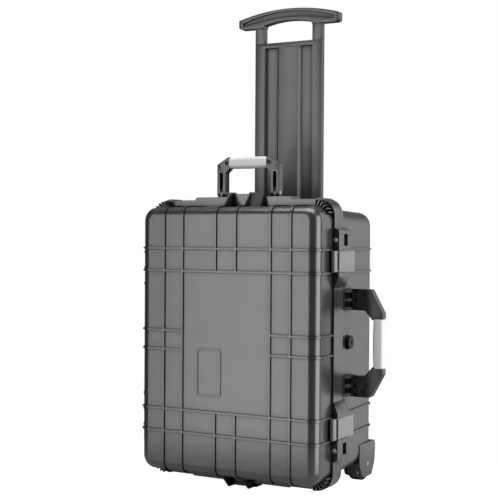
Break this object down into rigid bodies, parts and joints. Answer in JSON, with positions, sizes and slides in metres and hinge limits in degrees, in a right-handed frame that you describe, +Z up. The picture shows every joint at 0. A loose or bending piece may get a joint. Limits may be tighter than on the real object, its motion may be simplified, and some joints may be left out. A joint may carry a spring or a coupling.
{
  "type": "hard equipment case",
  "caption": "Upright wheeled hard case: ribbed moulded lid and base on side hinges, lever latches, folding top and side handles, and a wide extending pull handle.",
  "frame": {"origin": "centre of the rest face under the base's foot, on the floor", "axes": "+Z up, +X towards the latches and side handle, +Y from the lid towards the back"},
  "size_m": [0.5282, 0.313, 1.05],
  "materials": {
    "shell_grey": "fine moulded grain, satin",
    "handle_grey": "moulded, satin",
    "bracket_black": "moulded, semi-matt",
    "latch_grey": "moulded, satin",
    "grip_light": "soft-touch, fine grain",
    "seal_rubber": "matt",
    "tyre_rubber": "matt, lightly scuffed",
    "bush_nylon": "natural nylon",
    "steel": "stainless, turned"
  },
  "bodies": {
    "base": {"base_shell": "shell_grey", "hinge_pins": "steel", "base_padlock_sleeves": "steel", "latch_pivot_pins": "steel", "top_handle_pins": "steel", "side_handle_brackets": "bracket_black", "side_handle_pins": "steel", "purge_valve_body": "bracket_black", "pull_handle_cover": "shell_grey", "cover_screws": "steel", "release_spring": "steel", "left_wheel_housing": "shell_grey", "right_wheel_housing": "shell_grey", "housing_screws": "steel", "left_axle": "steel", "right_axle": "steel"},
    "lid": {"lid_shell": "shell_grey", "rim_seal": "seal_rubber", "lid_padlock_sleeves": "steel"},
    "upper_jaw": {"upper_latch_jaw": "latch_grey", "upper_lever_pin": "steel"},
    "upper_lever": {"upper_latch_lever": "latch_grey"},
    "lower_jaw": {"lower_latch_jaw": "latch_grey", "lower_lever_pin": "steel"},
    "lower_lever": {"lower_latch_lever": "latch_grey"},
    "top_handle": {"top_handle_frame": "handle_grey", "top_handle_grip": "grip_light", "top_handle_screws": "steel"},
    "side_handle": {"side_handle_frame": "handle_grey", "side_handle_grip": "grip_light", "side_handle_screws": "steel"},
    "pull_handle": {"pull_handle_stem": "handle_grey", "pull_handle_grip": "handle_grey", "pull_handle_screws": "steel"},
    "release_button": {"handle_release_button": "bracket_black"},
    "purge_knob": {"purge_valve_knob": "bracket_black"},
    "left_wheel": {"left_tyre": "tyre_rubber", "left_wheel_hub": "bracket_black", "left_wheel_bush": "bush_nylon"},
    "right_wheel": {"right_tyre": "tyre_rubber", "right_wheel_hub": "bracket_black", "right_wheel_bush": "bush_nylon"}
  },
  "joints": [
    {"name": "lid_hinge", "type": "hinge", "parent": "base", "child": "lid", "pos_m": [-0.228, -0.013, 0.312], "axis": [0, 0, -1], "range_deg": [0, 110]},
    {"name": "top_handle_fold", "type": "hinge", "parent": "base", "child": "top_handle", "pos_m": [0, 0.003, 0.625], "axis": [-1, 0, 0], "range_deg": [0, 90]},
    {"name": "side_handle_fold", "type": "hinge", "parent": "base", "child": "side_handle", "pos_m": [0.22123, 0.053, 0.312], "axis": [0, 0, 1], "range_deg": [0, 90]},
    {"name": "pull_handle_slide", "type": "slide", "parent": "base", "child": "pull_handle", "axis": [0, 0, 1], "range_m": [-0.415, 0]},
    {"name": "release_button_press", "type": "slide", "parent": "base", "child": "release_button", "axis": [0, -1, 0], "range_m": [0, 0.003], "stiffness_N_per_m": 300},
    {"name": "purge_knob_turn", "type": "hinge", "parent": "base", "child": "purge_knob", "pos_m": [0.214, 0.051, 0.312], "axis": [1, 0, 0], "range_deg": [0, 90]},
    {"name": "upper_jaw_swing", "type": "hinge", "parent": "base", "child": "upper_jaw", "pos_m": [0.217, 0.021, 0.48225], "axis": [0, 0, 1], "range_deg": [0, 32]},
    {"name": "upper_lever_swing", "type": "hinge", "parent": "upper_jaw", "child": "upper_lever", "pos_m": [0.2185, -0.022, 0.48225], "axis": [0, 0, -1], "range_deg": [0, 80]},
    {"name": "lower_jaw_swing", "type": "hinge", "parent": "base", "child": "lower_jaw", "pos_m": [0.217, 0.021, 0.14175], "axis": [0, 0, 1], "range_deg": [0, 32]},
    {"name": "lower_lever_swing", "type": "hinge", "parent": "lower_jaw", "child": "lower_lever", "pos_m": [0.2185, -0.022, 0.14175], "axis": [0, 0, -1], "range_deg": [0, 80]},
    {"name": "left_wheel_spin", "type": "hinge", "parent": "base", "child": "left_wheel", "pos_m": [-0.1863, 0.17, 0.037], "axis": [1, 0, 0], "continuous": true},
    {"name": "right_wheel_spin", "type": "hinge", "parent": "base", "child": "right_wheel", "pos_m": [0.1863, 0.17, 0.037], "axis": [1, 0, 0], "continuous": true}
  ],
  "couplings": [
    {"joint": "upper_lever_swing", "follows": "upper_jaw_swing", "ratio": 2.5},
    {"joint": "lower_lever_swing", "follows": "lower_jaw_swing", "ratio": 2.5}
  ]
}
